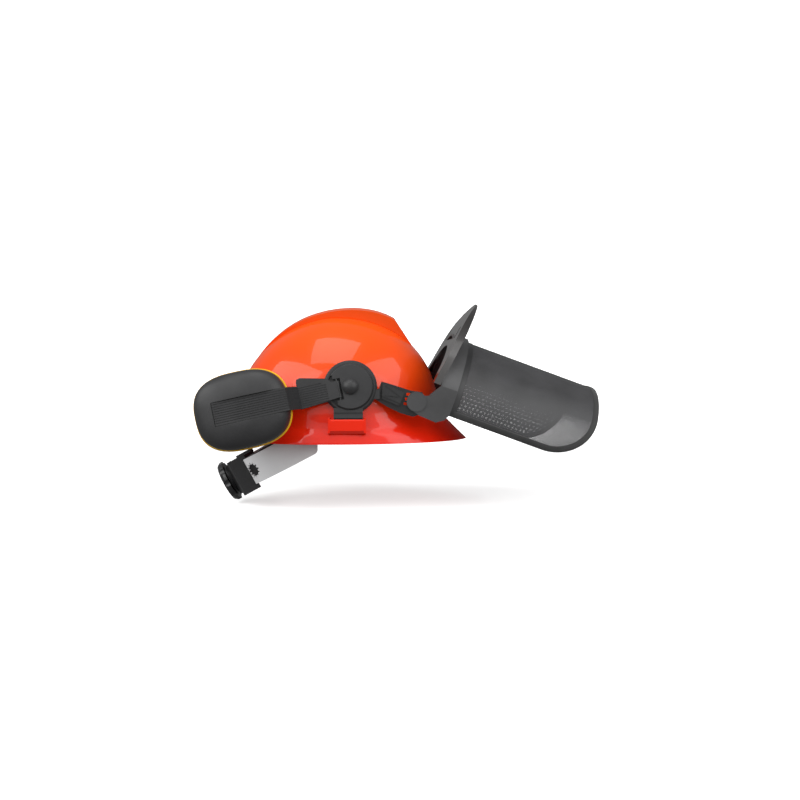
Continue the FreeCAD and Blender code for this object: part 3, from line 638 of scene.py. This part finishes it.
def make_crown_straps():
    """Two webbing straps that cross over the head, hung from the keys in the shell."""
    radius, end, foot, width, thick = 90.25, 8.5, 20.0, 20.0, 1.3
    angle = np.linspace(0, math.pi, 80)
    for name, azimuth, rise in (("a", 40.0, 96.0), ("b", 140.0, 99.0)):
        across_x = np.concatenate([[radius] * 6, radius * np.cos(angle), [-radius] * 6])
        height = np.concatenate([np.linspace(end, foot, 7)[:-1], foot + (rise - 0.75) * np.sin(angle),
                                 np.linspace(foot, end, 7)[1:]])
        path = np.stack([across_x, np.zeros(len(height)), height], axis=-1)
        tangent = unit(np.gradient(path, axis=0))
        side = np.tile([0.0, 1.0, 0.0], (len(path), 1))
        normal = np.cross(tangent, side)
        points = sweep(path, side, normal, rounded_section(width, thick, 0.6, 3))
        turn = math.radians(azimuth)
        c, s = math.cos(turn), math.sin(turn)
        turned = np.stack([points[..., 0] * c - points[..., 1] * s, points[..., 0] * s + points[..., 1] * c,
                           points[..., 2]], axis=-1)
        strap = grid_object("webbing_" + name, turned * MM, close_cols=True, caps=True, smooth_angle=60)
        finish_piece(strap, "hat", "webbing", "webbing", "crown_strap_" + name)


# ---- studio --------------------------------------------------------------------------------------
AIM = Vector((0.0756, 0.0, 0.0451))
DISTANCE, AZIMUTH, ELEVATION, LENS = 1.098, -2.9, 2.2, 40.5


def make_camera():
    """Eye-level view of the hat's right side."""
    az, el = math.radians(AZIMUTH), math.radians(ELEVATION)
    data = bpy.data.cameras.new("camera")
    data.lens, data.sensor_width = LENS, 36.0
    data.clip_start, data.clip_end = 0.01, 50.0
    camera = bpy.data.objects.new("camera", data)
    away = Vector((math.sin(az) * math.cos(el), -math.cos(az) * math.cos(el), math.sin(el)))
    camera.location = AIM + DISTANCE * away
    camera.rotation_euler = (AIM - camera.location).to_track_quat("-Z", "Y").to_euler()
    bpy.context.scene.collection.objects.link(camera)
    bpy.context.scene.camera = camera


def make_light(name, place, aim, size, power, size_y=None):
    """Soft box that faces aim."""
    data = bpy.data.lights.new(name, "AREA")
    data.shape, data.size, data.size_y = "RECTANGLE", size, size_y or size
    data.energy = power
    light = bpy.data.objects.new(name, data)
    light.location = place
    light.rotation_euler = (Vector(aim) - Vector(place)).to_track_quat("-Z", "Y").to_euler()
    bpy.context.scene.collection.objects.link(light)


def make_studio():
    """White paper sweep with a light of its own, and soft boxes that give the plastics their highlights."""
    floor_z = cad_box[0][2] - 0.004
    bend = [(2.0 + 1.5 * math.sin(t), 1.5 - 1.5 * math.cos(t)) for t in np.linspace(0.1, math.pi / 2, 14)]
    profile = [(-6, 0), (0, 0), (2.0, 0)] + bend + [(3.5, 6)]
    rows = np.array([[(-8, y, floor_z + z), (8, y, floor_z + z)] for y, z in profile])
    floor = grid_object("studio_floor", rows, smooth_angle=80)
    paper = Shader("studio_paper", rough=0.9, specular=0.1)
    varied(paper, (0.90, 0.90, 0.90), (0.94, 0.94, 0.94), 3.0)
    paper.main.inputs["Emission Color"].default_value = (1, 1, 1, 1)
    paper.main.inputs["Emission Strength"].default_value = 0.55
    floor.data.materials.append(paper.material)
    floor.visible_diffuse = False       # the paper is white to the eye, but doesn't light the hat from below
    floor.visible_glossy = False
    world = bpy.data.worlds.new("studio")
    world.use_nodes = True
    world.node_tree.nodes["Background"].inputs["Color"].default_value = (1, 1, 1, 1)
    world.node_tree.nodes["Background"].inputs["Strength"].default_value = 0.25
    bpy.context.scene.world = world
    make_light("backdrop", (0.0, 1.2, 1.6), (0.0, 3.4, 1.0), 2.5, 90)
    make_light("key", (-1.35, -0.85, 0.95), (-0.03, 0, 0.06), 2.0, 25, size_y=1.3)
    make_light("right", (1.15, -0.75, 0.80), (0.03, 0, 0.06), 1.3, 12, size_y=1.3)
    make_light("top", (-0.1, -0.45, 1.35), (0, 0, 0.03), 0.9, 7)
    make_light("front", (0.1, -1.8, 0.85), (0.05, 0, 0.03), 4.0, 17, size_y=1.7)
    bpy.context.scene.view_settings.view_transform = "Standard"


def main():
    dress_cad_nodes()
    make_mesh()
    make_binding()
    make_cushion()
    make_liner()
    make_brow_pad()
    make_nape_pad()
    make_nape_straps()
    make_crown_straps()
    make_camera()
    make_studio()


main()
